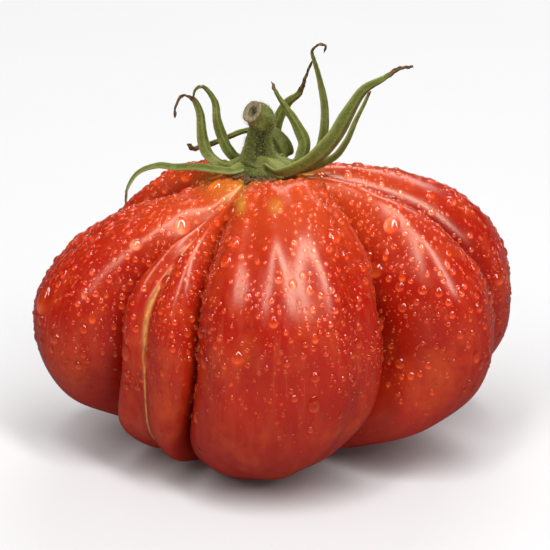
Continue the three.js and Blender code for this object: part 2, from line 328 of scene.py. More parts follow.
def scatter(piece, count, rng, weight=None):
    """Seeded points over a piece's faces, in millimetres, with their normals and face numbers."""
    faces = piece.data.polygons
    area = np.zeros(len(faces))
    centre = np.zeros(len(faces) * 3)
    normal = np.zeros(len(faces) * 3)
    faces.foreach_get("area", area)
    faces.foreach_get("center", centre)
    faces.foreach_get("normal", normal)
    centre = centre.reshape(-1, 3) / MM
    normal = normal.reshape(-1, 3)
    if weight is not None:
        area = area * weight(centre, normal)
    chosen = rng.choice(len(faces), count, p=area / area.sum())
    spread = np.sqrt(np.maximum(area[chosen], 1e-12)) / MM * 0.5
    jitter = rng.uniform(-1, 1, (count, 3)) * np.minimum(spread, 0.5)[:, None]
    jitter -= (jitter * normal[chosen]).sum(1)[:, None] * normal[chosen]
    return centre[chosen] + jitter, normal[chosen], chosen


def built(name):
    piece = bpy.data.objects.get(name)
    if piece is None:
        raise RuntimeError(f"build {name} first")
    return piece


# ---------------------------------------------------------------- material helpers

def add_node(tree, kind, inputs=None, **settings):
    """Adds a node; inputs are values or other nodes' sockets, by name or number."""
    made = tree.nodes.new(kind)
    for name, value in settings.items():
        setattr(made, name, value)
    for name, value in (inputs or {}).items():
        if isinstance(value, bpy.types.NodeSocket):
            tree.links.new(value, made.inputs[name])
        else:
            made.inputs[name].default_value = value
    return made


def rgba(colour):
    return (*colour[:3], 1.0)


def mix_colour(tree, factor, first, second, blend="MIX"):
    made = add_node(tree, "ShaderNodeMix", {0: factor, 6: first, 7: second}, data_type="RGBA")
    made.blend_type = blend
    return made.outputs[2]


def calculate(tree, operation, first, second=0.0, clamp=False):
    made = add_node(tree, "ShaderNodeMath", {0: first, 1: second}, operation=operation)
    made.use_clamp = clamp
    return made.outputs[0]


def remap(tree, value, low, high, to_low=0.0, to_high=1.0):
    sizes = {"Value": value, "From Min": low, "From Max": high, "To Min": to_low, "To Max": to_high}
    return add_node(tree, "ShaderNodeMapRange", sizes).outputs[0]


def noise(tree, vector, scale, detail=3.0, roughness=0.5):
    sizes = {"Vector": vector, "Scale": scale, "Detail": detail, "Roughness": roughness}
    return add_node(tree, "ShaderNodeTexNoise", sizes).outputs[0]


def stretched(tree, vector, scale):
    made = add_node(tree, "ShaderNodeVectorMath", {0: vector, 1: scale}, operation="MULTIPLY")
    return made.outputs[0]


def mask_of(tree, name):
    return add_node(tree, "ShaderNodeAttribute", attribute_name=name).outputs["Fac"]


def place_of(tree):
    return add_node(tree, "ShaderNodeTexCoord").outputs["Object"]


def new_material(name):
    material = bpy.data.materials.new(name)
    material.use_nodes = True
    tree = material.node_tree
    return material, tree, tree.nodes["Principled BSDF"]


def connect(tree, shader, **sockets):
    """Links or sets the shader's sockets; an underscore in a name stands for a space."""
    for name, value in sockets.items():
        socket = shader.inputs[name.replace("_", " ")]
        if isinstance(value, bpy.types.NodeSocket):
            tree.links.new(value, socket)
        else:
            socket.default_value = value


def bumped(tree, shader, height, strength, distance):
    sizes = {"Height": height, "Strength": strength, "Distance": distance}
    made = add_node(tree, "ShaderNodeBump", sizes)
    tree.links.new(made.outputs[0], shader.inputs["Normal"])


def effect_group(name, inputs, outputs):
    """A shader node group with named sockets, and its input and output nodes."""
    tree = bpy.data.node_groups.new(name, "ShaderNodeTree")
    for side, sockets in (("INPUT", inputs), ("OUTPUT", outputs)):
        for socket_name, kind, default in sockets:
            made = tree.interface.new_socket(socket_name, in_out=side, socket_type="NodeSocket" + kind)
            if default is not None:
                made.default_value = default
    return tree, tree.nodes.new("NodeGroupInput").outputs, tree.nodes.new("NodeGroupOutput").inputs


def mottle_group():
    """Two scales of soft patches that lead a colour towards a lighter and a darker one."""
    name = "Mottled Colour"
    if name in bpy.data.node_groups:
        return bpy.data.node_groups[name]
    white = (1.0, 1.0, 1.0, 1.0)
    tree, given, result = effect_group(
        name,
        [("Vector", "Vector", None), ("Scale", "Float", 100.0), ("Amount", "Float", 1.0),
         ("Colour", "Color", white), ("Light", "Color", white), ("Dark", "Color", white)],
        [("Colour", "Color", None), ("Patches", "Float", None)],
    )
    broad = noise(tree, given["Vector"], given["Scale"], 4.0, 0.55)
    fine_scale = calculate(tree, "MULTIPLY", given["Scale"], 5.3)
    fine = noise(tree, given["Vector"], fine_scale, 3.0, 0.6)
    lighter = calculate(tree, "MULTIPLY", remap(tree, broad, 0.5, 0.72), given["Amount"], True)
    darker = calculate(tree, "MULTIPLY", remap(tree, fine, 0.52, 0.75), given["Amount"], True)
    colour = mix_colour(tree, lighter, given["Colour"], given["Light"])
    tree.links.new(mix_colour(tree, darker, colour, given["Dark"]), result["Colour"])
    tree.links.new(broad, result["Patches"])
    return tree


def grain_group():
    """Fine relief: soft pits and grains, as one height that changes over the surface."""
    name = "Fine Grain"
    if name in bpy.data.node_groups:
        return bpy.data.node_groups[name]
    tree, given, result = effect_group(
        name,
        [("Vector", "Vector", None), ("Scale", "Float", 500.0), ("Pits", "Float", 0.3)],
        [("Height", "Float", None)],
    )
    grain = noise(tree, given["Vector"], given["Scale"], 4.0, 0.6)
    cells = add_node(
        tree, "ShaderNodeTexVoronoi", {"Vector": given["Vector"], "Scale": given["Scale"]}
    ).outputs["Distance"]
    pits = calculate(tree, "MULTIPLY", remap(tree, cells, 0.0, 0.35), given["Pits"])
    tree.links.new(calculate(tree, "ADD", grain, pits), result["Height"])
    return tree


def drying_group():
    """Turns a colour brown where a piece has dried, with dark and pale streaks in the brown."""
    name = "Dried Ends"
    if name in bpy.data.node_groups:
        return bpy.data.node_groups[name]
    tree, given, result = effect_group(
        name,
        [("Vector", "Vector", None), ("Colour", "Color", (1, 1, 1, 1)), ("Dryness", "Float", 0.0),
         ("Brown", "Color", (0.09, 0.045, 0.02, 1)), ("Pale", "Color", (0.25, 0.16, 0.08, 1))],
        [("Colour", "Color", None), ("Dry", "Float", None)],
    )
    streaks = noise(tree, given["Vector"], 1400.0, 3.0, 0.6)
    brown = mix_colour(tree, remap(tree, streaks, 0.42, 0.7), given["Brown"], given["Pale"])
    uneven = calculate(tree, "MULTIPLY", calculate(tree, "SUBTRACT", streaks, 0.5), 0.9)
    dry = remap(tree, calculate(tree, "ADD", given["Dryness"], uneven), 0.3, 0.7)
    tree.links.new(mix_colour(tree, dry, given["Colour"], brown), result["Colour"])
    tree.links.new(dry, result["Dry"])
    return tree


def place_group(tree, group, inputs):
    made = tree.nodes.new("ShaderNodeGroup")
    made.node_tree = group
    for name, value in inputs.items():
        if isinstance(value, bpy.types.NodeSocket):
            tree.links.new(value, made.inputs[name])
        else:
            made.inputs[name].default_value = value
    return made.outputs


# ---------------------------------------------------------------- settings

class FruitSettings(bpy.types.PropertyGroup):
    red: FloatVectorProperty(
        name="Ripe red", description="Main colour of the skin", subtype="COLOR",
        default=(0.45, 0.010, 0.003), min=0, max=1)
    # Orange red: the lighter patches and streaks, and the painted light on the upper skin.
    orange_and_top_light: FloatVectorProperty(
        name="Orange red", description="Lighter patches of the skin", subtype="COLOR",
        default=(0.64, 0.070, 0.011), min=0, max=1)
    # Colour of the painted shade down in the seams.
    deep: FloatVectorProperty(
        name="Deep red", description="Colour down in the seams", subtype="COLOR",
        default=(0.22, 0.003, 0.002), min=0, max=1)
    unripe: FloatVectorProperty(
        name="Unripe shoulder", description="Colour beside the calyx", subtype="COLOR",
        default=(0.58, 0.27, 0.03), min=0, max=1)
    scar: FloatVectorProperty(
        name="Corky line", description="Colour of the healed line down the pair of lobes",
        subtype="COLOR", default=(0.92, 0.48, 0.13), min=0, max=1)
    ripple: FloatProperty(
        name="Ripple", description="Height of the slow unevenness of the skin", unit="LENGTH",
        default=0.00022, min=0, max=0.001, precision=5)


class GreenSettings(bpy.types.PropertyGroup):
    leaf: FloatVectorProperty(
        name="Leaf green", description="Main colour of the sepals", subtype="COLOR",
        default=(0.105, 0.125, 0.016), min=0, max=1)
    pale: FloatVectorProperty(
        name="Pale green", description="Edges and midribs of the sepals", subtype="COLOR",
        default=(0.32, 0.34, 0.10), min=0, max=1)
    # Dark green: the darker patches, and the painted shade in channels and grooves.
    dark: FloatVectorProperty(
        name="Dark green", description="Channels and grooves", subtype="COLOR",
        default=(0.030, 0.038, 0.005), min=0, max=1)
    cut: FloatVectorProperty(
        name="Cut wood", description="Ring of the cut end of the stalk", subtype="COLOR",
        default=(0.40, 0.31, 0.18), min=0, max=1)
    hair_count: IntProperty(
        name="Hairs", description="Number of fine hairs on the green parts", default=5200, min=0, max=20000)
    hair_length: FloatProperty(
        name="Hair length", description="Longest of the fine hairs", unit="LENGTH",
        default=0.0010, min=0.0001, max=0.003, precision=5)
    flake_count: IntProperty(
        name="Flakes", description="Number of brown flakes round the seat", default=60, min=0, max=200)


class WaterSettings(bpy.types.PropertyGroup):
    large_count: IntProperty(
        name="Large drops", description="Number of large drops", default=150, min=0, max=300)
    medium_count: IntProperty(
        name="Medium drops", description="Number of medium drops", default=1500, min=0, max=3000)
    small_count: IntProperty(
        name="Small drops", description="Number of small drops", default=2600, min=0, max=6000)
    speck_count: IntProperty(
        name="Specks", description="Number of the finest drops", default=3200, min=0, max=8000)
    seed: IntProperty(name="Seed", description="Picks one pattern of drops", default=11, min=0)
    # The glow is painted: each drop gives it off at its lower edge, though it is no lamp.
    glow: FloatVectorProperty(
        name="Gathered light", description="Light that a drop gathers on the skin at its lower edge",
        subtype="COLOR", default=(1.0, 0.23, 0.028), min=0, max=1)


class StageSettings(bpy.types.PropertyGroup):
    elevation: FloatProperty(
        name="Elevation", description="How far the camera looks down", subtype="ANGLE",
        default=math.radians(20), min=0, max=math.radians(89))
    distance: FloatProperty(
        name="Distance", description="From the camera to the tomato", unit="LENGTH",
        default=0.62, min=0.1, max=5)
    view_width: FloatProperty(
        name="View width", description="Width of the view at the tomato", unit="LENGTH",
        default=0.12941, min=0.05, max=1, precision=5)
    floor: FloatVectorProperty(
        name="Floor", description="Colour of the floor", subtype="COLOR",
        default=(0.775, 0.775, 0.78), min=0, max=1)
    bounce: FloatProperty(
        name="Bounce", description="Share of the floor's light that reaches the tomato", default=0.68,
        min=0, max=1)
    left_power: FloatProperty(
        name="Left lamp", description="Power of the left lamp", subtype="POWER", default=32.0,
        min=0, max=100)
    right_power: FloatProperty(
        name="Right lamp", description="Power of the right lamp", subtype="POWER", default=45.0,
        min=0, max=100)
    back_power: FloatProperty(
        name="Back lamp", description="Power of the soft lamp behind", subtype="POWER", default=15.0,
        min=0, max=100)
    ambient: FloatProperty(
        name="Ambient", description="Brightness of the room", default=0.34, min=0, max=5)


SETTINGS = {
    "tomato_fruit_settings": FruitSettings,
    "tomato_green_settings": GreenSettings,
    "tomato_water_settings": WaterSettings,
    "tomato_stage_settings": StageSettings,
}


# ---------------------------------------------------------------- fruit

SCAR_SEAM = LOBE_NAMES.index("pair_right")
# Yellow patches on the front lobe: place across, lift in degrees, and two radii in mm.
YELLOW_PATCHES = [(-0.72, 58, 1.6, 2.6), (-0.26, 54, 2.2, 1.5)]
YELLOW_STRENGTH = 0.62
YELLOW_RADIUS_DEEP = 8


def skin_material(settings):
    material, tree, shader = new_material("tomato_skin")
    place = place_of(tree)
    centred = add_node(
        tree, "ShaderNodeVectorMath",
        {0: place, 1: ((FOOTPRINT_SHIFT[0] + STEM_AXIS_X) * MM, FOOTPRINT_SHIFT[1] * MM, MIDDLE_HEIGHT * MM)},
        operation="SUBTRACT").outputs[0]
    outward = add_node(tree, "ShaderNodeVectorMath", {0: centred}, operation="NORMALIZE").outputs[0]
    streak_place = stretched(tree, outward, (26.0, 26.0, 3.2))
    patches = place_group(tree, mottle_group(), {
        "Vector": place, "Scale": 95.0, "Amount": 0.62, "Colour": rgba(settings.red),
        "Light": rgba(settings.orange_and_top_light), "Dark": rgba([c * 0.72 for c in settings.red])})
    streaks = noise(tree, streak_place, 1.0, 1.5, 0.5)
    warm = calculate(tree, "MULTIPLY", remap(tree, streaks, 0.42, 0.78), 0.28)
    colour = mix_colour(tree, warm, patches["Colour"], rgba(settings.orange_and_top_light))
    thread_place = stretched(tree, outward, (90.0, 90.0, 9.0))
    threads = calculate(tree, "MULTIPLY", remap(tree, noise(tree, thread_place, 1.0, 2.0), 0.5, 0.85), 0.14)
    colour = mix_colour(tree, threads, colour, rgba([c * 0.6 for c in settings.red]))
    # Painted light from above: the upper skin is led towards the orange red, less so down in the seams.
    high = calculate(tree, "MULTIPLY", mask_of(tree, "shoulder"), 0.75)
    colour = mix_colour(tree, high, colour, rgba(settings.orange_and_top_light))
    # Painted shade: the skin is led towards the deep red down in the seams, where shade falls.
    seam_shade = mask_of(tree, "seam_shade")
    colour = mix_colour(tree, calculate(tree, "MULTIPLY", seam_shade, 0.8), colour, rgba(settings.deep))
    specks = add_node(tree, "ShaderNodeTexVoronoi", {"Vector": place, "Scale": 620.0, "Randomness": 1.0})
    pale = calculate(tree, "MULTIPLY", remap(tree, specks.outputs["Distance"], 0.15, 0.05), 0.42)
    colour = mix_colour(tree, pale, colour, (0.78, 0.19, 0.06, 1.0))
    uneven = remap(tree, patches["Patches"], 0.25, 0.75, 0.45, 1.5)
    crown = remap(tree, calculate(tree, "MULTIPLY", mask_of(tree, "unripe"), uneven), 0.15, 0.9)
    colour = mix_colour(tree, crown, colour, rgba(settings.unripe))
    scar_noise = noise(tree, place, 900.0, 3.0, 0.6)
    scar = calculate(tree, "MULTIPLY", mask_of(tree, "scar"), remap(tree, scar_noise, 0.22, 0.5), True)
    colour = mix_colour(tree, scar, colour, rgba(settings.scar))
    cork = mask_of(tree, "blossom")
    colour = mix_colour(tree, cork, colour, (0.20, 0.11, 0.05, 1.0))
    grain = place_group(tree, grain_group(), {"Vector": place, "Scale": 1500.0, "Pits": 0.5})
    relief = calculate(tree, "ADD", grain["Height"], calculate(tree, "MULTIPLY", scar, 3.0))
    bumped(tree, shader, relief, 0.10, 0.00018)
    matte = calculate(tree, "MAXIMUM", mask_of(tree, "low"), calculate(tree, "MAXIMUM", scar, cork))
    roughness = remap(tree, streaks, 0.3, 0.7, 0.23, 0.29)
    roughness = calculate(tree, "ADD", roughness, calculate(tree, "MULTIPLY", matte, 0.12))
    connect(
        tree, shader, Base_Color=colour, Roughness=roughness, Subsurface_Weight=0.06,
        Subsurface_Radius=(1.0, 0.15, 0.05), Subsurface_Scale=0.003, Specular_IOR_Level=0.85,
        Specular_Tint=(1.0, 0.86, 0.68, 1.0))
    return material


class TOMATO_OT_fruit(bpy.types.Operator):
    """Build the ribbed fruit with its finished skin"""

    bl_idname = "tomato.fruit"
    bl_label = "Fruit"

    def execute(self, context):
        settings = context.scene.tomato_fruit_settings
        lift = 90 - 180 * np.arange(1, SKIN_ROWS) / SKIN_ROWS
        columns = []
        furrows = []
        for index in range(len(LOBES)):
            width = seam_azimuth(index + 1, 0) - seam_azimuth(index, 0)
            count = int(COLUMNS_PER_DEGREE * width) + LEAST_COLUMNS
            across = -np.cos(math.pi * np.arange(count) / count)
            columns.append(skin_point(index, across[None, :], lift[:, None]))
            furrows.append(np.repeat((np.abs(across) ** 9)[None, :], len(lift), 0))
        rings = np.concatenate(columns, 1)
        outward = rings - np.array([STEM_AXIS_X, 0, MIDDLE_HEIGHT]) - FOOTPRINT_SHIFT
        outward /= np.linalg.norm(outward, axis=2, keepdims=True)
        slow = ripple(outward * [9, 9, 2.4], 1.6, 3) + 0.7 * ripple(rings, 13, 4)
        settled = ease(0.5, 6, rings[..., 2])
        rings = rings + outward * (slow * settled)[..., None] * settings.ripple / MM
        rings[..., 2] = np.maximum(rings[..., 2], 0)
        points, faces = closed_body(rings)
        material = skin_material(settings)
        piece = new_piece("tomato_fruit", points, faces, material, ["fruit"])
        # The rings run downwards, so the faces are turned to point out.
        piece.data.flip_normals()
        map_rings(piece, *rings.shape[:2])

        # How far up the skin lies: it paints light from above onto the upper skin.
        high = ease(20, 60, lift)[:, None]
        from_axis = np.hypot(*(rings[..., k] - FOOTPRINT_SHIFT[k] - (STEM_AXIS_X, 0)[k] for k in (0, 1)))
        # Nearness to a seam, faded towards the poles, for the painted shade in the seams.
        seam_shade = np.concatenate(furrows, 1) * (1 - ease(58, 80, np.abs(lift)))[:, None]
        near_calyx = (1 - ease(7, 22, from_axis)) * ease(38, 55, lift)[:, None]
        unripe = near_calyx * (0.45 + 0.75 * np.concatenate(furrows, 1))
        for across, patch_lift, wide, tall in YELLOW_PATCHES:
            gap = rings - skin_point(0, across, patch_lift)
            unripe = unripe + YELLOW_STRENGTH * np.exp(
                -(gap[..., 0] / wide) ** 2 - (gap[..., 2] / tall) ** 2
                - (gap[..., 1] / YELLOW_RADIUS_DEEP) ** 2)
        seam = skin_point(SCAR_SEAM, -1.0, lift)[:, None, :]
        wide = 0.38 + 0.5 * peak(15, 12, lift)[:, None]
        shown = ease(-62, -40, lift)[:, None] * (1 - ease(42, 52, lift))[:, None]
        scar = np.exp(-(np.linalg.norm(rings - seam, axis=2) / wide) ** 2) * shown * 0.95
        blossom = (1 - ease(1.6, 3.4, from_axis)) * (lift < -40)[:, None]
        # Of these masks, the shoulder one paints light from above and the seam one paints shade into the
        # seams.
        masks = {
            "seam_shade": seam_shade, "shoulder": high * (1 - 0.4 * seam_shade), "unripe": unripe, "scar": scar,
            "low": 1 - ease(6, 30, rings[..., 2]), "blossom": blossom,
        }
        for name, values in masks.items():
            set_mask(piece, name, with_ends(np.broadcast_to(values, rings.shape[:2])))
        return {"FINISHED"}


# ---------------------------------------------------------------- calyx, stalk and sepals

def green_material(name, settings, cut=False):
    """Hairy green skin of the calyx, stalk and sepals, with grooves, pale edges and dried ends."""
    material, tree, shader = new_material(name)
    place = place_of(tree)
    patches = place_group(tree, mottle_group(), {
        "Vector": place, "Scale": 380.0, "Amount": 1.0, "Colour": rgba(settings.leaf),
        "Light": rgba([0.55 * a + 0.45 * b for a, b in zip(settings.leaf, settings.pale)]),
        "Dark": rgba([0.3 * a + 0.7 * b for a, b in zip(settings.leaf, settings.dark)])})
    edge = calculate(tree, "MULTIPLY", mask_of(tree, "edge"), 0.9)
    colour = mix_colour(tree, edge, patches["Colour"], rgba(settings.pale))
    # Painted shade: channels and grooves are led towards the dark green.
    colour = mix_colour(tree, mask_of(tree, "groove"), colour, rgba(settings.dark))
    veins = noise(tree, place, 2600.0, 2.0)
    colour = mix_colour(tree, calculate(tree, "MULTIPLY", remap(tree, veins, 0.5, 0.8), 0.5), colour,
                        rgba(settings.pale))
    dried = place_group(tree, drying_group(), {
        "Vector": place, "Colour": colour, "Dryness": mask_of(tree, "dry")})
    colour = dried["Colour"]
    if cut:
        rings = noise(tree, place, 1900.0, 4.0, 0.65)
        wood = mix_colour(tree, remap(tree, rings, 0.35, 0.65), rgba(settings.cut),
                          rgba([c * 0.45 for c in settings.cut]))
        colour = mix_colour(tree, mask_of(tree, "wood"), colour, wood)
        # Painted shade: the hollow pith of the cut end is painted near black.
        colour = mix_colour(tree, mask_of(tree, "hollow"), colour, (0.02, 0.012, 0.006, 1.0))
    grain = place_group(tree, grain_group(), {"Vector": place, "Scale": 2300.0, "Pits": 0.6})
    bumped(tree, shader, grain["Height"], 0.55, 0.00022)
    roughness = remap(tree, dried["Dry"], 0.0, 1.0, 0.55, 0.85)
    connect(
        tree, shader, Base_Color=colour, Roughness=roughness, Subsurface_Weight=0.12,
        Subsurface_Radius=(0.35, 0.5, 0.1), Subsurface_Scale=0.001, Specular_IOR_Level=0.4,
        Specular_Tint=(1.0, 0.9, 0.55, 1.0), Sheen_Weight=0.08, Sheen_Roughness=0.4,
        Sheen_Tint=(0.9, 0.9, 0.5, 1.0))
    return material


SEPAL_AZIMUTHS = np.array([row[0] for row in SEPALS.values()], float)


def calyx_spread(azimuth):
    """How far the fused base reaches at an azimuth in degrees: out along each sepal, in between them."""
    gap = (azimuth[..., None] - SEPAL_AZIMUTHS + 180) % 360 - 180
    return 5.7 + 3.1 * np.clip(peak(0, 13, gap).sum(-1), 0, 1)


class TOMATO_OT_calyx(bpy.types.Operator):
    """Build the fused base of the calyx, between the stalk and the sepals"""

    bl_idname = "tomato.calyx"
    bl_label = "Calyx base"

    def execute(self, context):
        around = 216
        azimuth = np.arange(around) * 360 / around
        spread = calyx_spread(azimuth)
        rings = []
        masks = []
        # Each step is a share of the spread and a height over the seat, from under the rim to the top.
        profile = [
            (0.25, 0.35), (0.6, 0.35), (0.88, 0.5), (0.97, 0.7), (1.0, 1.0), (0.985, 1.3), (0.94, 1.6),
            (0.87, 1.95), (0.78, 2.3), (0.69, 2.75), (0.6, 3.3), (0.52, 4.0), (0.45, 4.8), (0.38, 5.2),
            (0.2, 5.3),
        ]
        toward = (spread - spread.min()) / np.ptp(spread)
        for share, height in profile:
            pull = np.clip((share - 0.45) / 0.55, 0, 1)
            radius = share * (spread * pull + spread.mean() * (1 - pull))
            ridge = 0.75 * toward * pull * (1 - pull) * 4 * (height > 1)
            x = STEM_AXIS_X + radius * np.cos(np.radians(azimuth))
            y = radius * np.sin(np.radians(azimuth))
            z = SEAT_HEIGHT + height + ridge + 0.25 * toward * pull
            ring = np.stack([x, y, z], -1) + FOOTPRINT_SHIFT
            bump = ripple(ring, 2.2, 21) * 0.12
            ring[:, 2] += bump
            rings.append(ring)
            masks.append(np.full(around, 1.0) * (1 - toward) * pull)
        rings = np.array(rings)
        points, faces = closed_body(rings)
        material = green_material("calyx_green", context.scene.tomato_green_settings)
        piece = new_piece("calyx_base", points, faces, material, ["calyx_disc"])
        map_rings(piece, *rings.shape[:2])
        between = np.array(masks)
        rim = np.array([np.full(around, peak(1.0, 0.45, height)) for _, height in profile])
        # Painted shade between the sepals' ridges on the fused base.
        set_mask(piece, "groove", with_ends(between * 0.55))
        set_mask(piece, "edge", with_ends(np.repeat(toward[None, :], len(profile), 0) * 0.7))
        set_mask(piece, "dry", with_ends(rim * (0.35 + 0.4 * ripple(rings, 3.0, 22))))
        return {"FINISHED"}


class TOMATO_OT_stalk(bpy.types.Operator):
    """Build the ribbed stalk with its swollen knuckle and hollow cut end"""

    bl_idname = "tomato.stalk"
    bl_label = "Stalk"

    def execute(self, context):
        around = 120
        stations = 130
        line, along = smooth_line(STALK_LINE, stations)
        at = np.linspace(0, 1, stations)
        shares, radii = np.array(STALK_RADII).T
        radius = np.interp(at, shares, radii)
        kernel = np.hanning(9) / np.hanning(9).sum()
        radius = np.convolve(np.pad(radius, 4, "edge"), kernel, "valid")
        angle = 2 * math.pi * np.arange(around) / around
        # Ribs run up from the sepals; one deep groove faces the front.
        ribs = 0.5 + 0.5 * np.cos(5 * (angle + 0.5 * math.pi))
        front = np.degrees((angle + 0.5 * math.pi + math.pi) % (2 * math.pi) - math.pi)
        rib_height = 0.10 * (1 - ease(0.55, 0.72, at))
        deepest = 0.34
        groove_depth = deepest * ease(0.0, 0.1, at) * (1 - ease(0.5, 0.62, at))
        spread = np.array([1.0, 0.0, 0.0])
        rings = []
        grooves = []
        for k in range(stations):
            wide = spread - along[k] * (spread @ along[k])
            wide /= np.linalg.norm(wide)
            deep = np.cross(along[k], wide)
            groove = peak(7, 25, front) * groove_depth[k] + (1 - ribs) * rib_height[k]
            reach = radius[k] * (1 - groove)
            ring = line[k] + reach[:, None] * (np.cos(angle)[:, None] * wide + np.sin(angle)[:, None] * deep)
            rough = ripple(ring, 1.9, 31) * 0.05 + ripple(ring, 0.9, 32) * 0.03
            swell = 0.10 * at[k] ** 4
            ring += (ring - line[k]) / radius[k] * (rough + swell * ripple(ring, 2.6, 33))[:, None]
            rings.append(ring)
            grooves.append(groove / deepest)
        end = line[-1]
        axis = along[-1]
        rim = rings[-1]
        # The cut face: a raised ring, then the hollow pith going in.
        for share, depth in ((0.93, -0.12), (0.82, -0.02), (0.7, 0.02), (0.58, 0.1), (0.46, 0.3),
                             (0.36, 0.75), (0.26, 1.2), (0.12, 1.4)):
            ring = end + (rim - end) * share - axis * depth
            rings.append(ring + axis * (ripple(ring, 1.1, 34) * 0.07)[:, None])
        rings = np.array(rings) + FOOTPRINT_SHIFT
        extra = len(rings) - stations
        points, faces = closed_body(rings)
        material = green_material("stalk_green", context.scene.tomato_green_settings, cut=True)
        piece = new_piece("tomato_stalk", points, faces, material, ["stalk"])
        map_rings(piece, *rings.shape[:2])
        flat = np.zeros((extra, around))
        wood = np.zeros(rings.shape[:2])
        wood[stations - 2] = 0.6
        wood[stations - 1:] = 1.0
        # The rings going into the hollow get the painted shade.
        hollow = np.zeros(rings.shape[:2])
        hollow[-2:] = 1.0
        hollow[-4:-2] = 0.55
        dry = np.repeat(0.5 * ease(0.9, 1.0, at)[:, None], around, 1)
        crest = np.repeat((ribs ** 3)[None, :], stations, 0) * 0.45
        # Painted shade along the deep groove and between the ribs.
        set_mask(piece, "groove", with_ends(np.concatenate([np.clip(1.3 * np.array(grooves), 0, 1), flat])))
        set_mask(piece, "edge", with_ends(np.concatenate([crest, flat])))
        set_mask(piece, "dry", with_ends(np.concatenate([dry, flat])))
        set_mask(piece, "wood", with_ends(wood))
        set_mask(piece, "hollow", with_ends(hollow))
        return {"FINISHED"}


def sepal_rings(seed, base, flat, width, thickness, dry_from, narrow, line):
    """Rings of one blade, with its edge, channel and dryness masks."""
    stations = 110
    around = 28
    turn = math.radians(base)
    root = (STEM_AXIS_X + SEPAL_ROOT_RADIUS * math.cos(turn), SEPAL_ROOT_RADIUS * math.sin(turn),
            SEPAL_BASE_HEIGHT + 0.9)
    foot = (STEM_AXIS_X + SEPAL_BASE_RADIUS * math.cos(turn), SEPAL_BASE_RADIUS * math.sin(turn),
            SEPAL_BASE_HEIGHT + 0.3)
    centre, along = smooth_line([root, foot, *line], stations)
    at = np.linspace(0, 1, stations)
    angle = 2 * math.pi * np.arange(around) / around
    across = np.cos(angle)
    dryness = ease(dry_from - 0.07, dry_from + 0.05, at)
    tip = np.minimum(1, np.sqrt(30 * (1 - at) + 0.002))
    blade = (0.8 + 0.2 * ease(0, 0.3, at)) * (1 - 0.75 * ease(*narrow, at)) * tip
    blade *= (1 + 0.6 * peak(0, 0.1, at)) * (1 - 0.2 * dryness)
    phase = np.random.default_rng(seed).uniform(0, 2 * math.pi, 4)
    rings = []
    for k in range(stations):
        spread = np.array(flat, float)
        wide = spread - along[k] * (spread @ along[k])
        wide /= np.linalg.norm(wide)
        thick = np.cross(wide, along[k])
        twist = 0.16 * math.sin(5 * at[k] + phase[0]) + 0.35 * dryness[k] * math.sin(24 * at[k] + phase[1])
        wide, thick = (wide * math.cos(twist) + thick * math.sin(twist),
                       thick * math.cos(twist) - wide * math.sin(twist))
        half = width / 2 * blade[k]
        body = thickness / 2 * (1 - 0.5 * at[k]) * tip[k] * (1 - 0.3 * dryness[k])
        edge_wave = 1 + 0.05 * np.sin(31 * at[k] + phase[2] + 2 * (across > 0)) + (
            0.16 * dryness[k] * np.sin(70 * at[k] + phase[3] + 3 * (across > 0)))
        cup = SEPAL_CUP * half * (np.abs(across) ** 1.5 - 0.45)
        upper = np.sin(angle) < 0
        depth = body * np.sign(np.sin(angle)) * np.abs(np.sin(angle)) ** 0.75
        depth = np.where(upper, depth * (1 - 0.45 * peak(0, 0.22, across)),
                         depth * (0.72 + 0.4 * peak(0, 0.2, across)))
        reach = half * across * edge_wave
        ring = centre[k] + reach[:, None] * wide + (depth - cup)[:, None] * thick
        rings.append(ring)
    rings = np.array(rings) + FOOTPRINT_SHIFT
    crinkle = ripple(rings, 1.3, seed + 5) * (0.035 + 0.16 * dryness[:, None])
    rings += crinkle[..., None] * np.array([0.5, 0.5, 0.7])
    edge = np.abs(across) ** 5 * 0.9 + 0.5 * peak(0, 0.16, across) * (np.sin(angle) > 0)
    # Painted shade down the channel on the upper side of the blade.
    channel = peak(0, 0.34, across) * (np.sin(angle) < 0) * 0.8
    shape = rings.shape[:2]
    masks = {
        "edge": np.broadcast_to(edge, shape),
        "groove": np.broadcast_to(channel, shape) * (1 - 0.6 * at[:, None]),
        "dry": np.broadcast_to(dryness[:, None], shape),
    }
    return rings, masks


class TOMATO_OT_sepals(bpy.types.Operator):
    """Build the nine sepals as channelled blades with dried tips"""

    bl_idname = "tomato.sepals"
    bl_label = "Sepals"

    def execute(self, context):
        material = green_material("sepal_green", context.scene.tomato_green_settings)
        for seed, (name, row) in enumerate(SEPALS.items()):
            rings, masks = sepal_rings(seed + 40, *row)
            points, faces = closed_body(rings)
            piece = new_piece(name.replace("sepal", "blade"), points, faces, material, [name])
            map_rings(piece, *rings.shape[:2])
            for mask_name, values in masks.items():
                set_mask(piece, mask_name, with_ends(values))
        return {"FINISHED"}


# ---------------------------------------------------------------- flakes and hairs

def tangents_at(normal):
    """Two directions across a normal: level, and downhill."""
    downhill = np.array([0, 0, -1.0]) - normal * -normal[2]
    length = np.linalg.norm(downhill)
    if length < 0.05:
        downhill = np.cross(normal, [1.0, 0, 0])
        length = np.linalg.norm(downhill)
    downhill = downhill / length
    return np.cross(downhill, normal), downhill


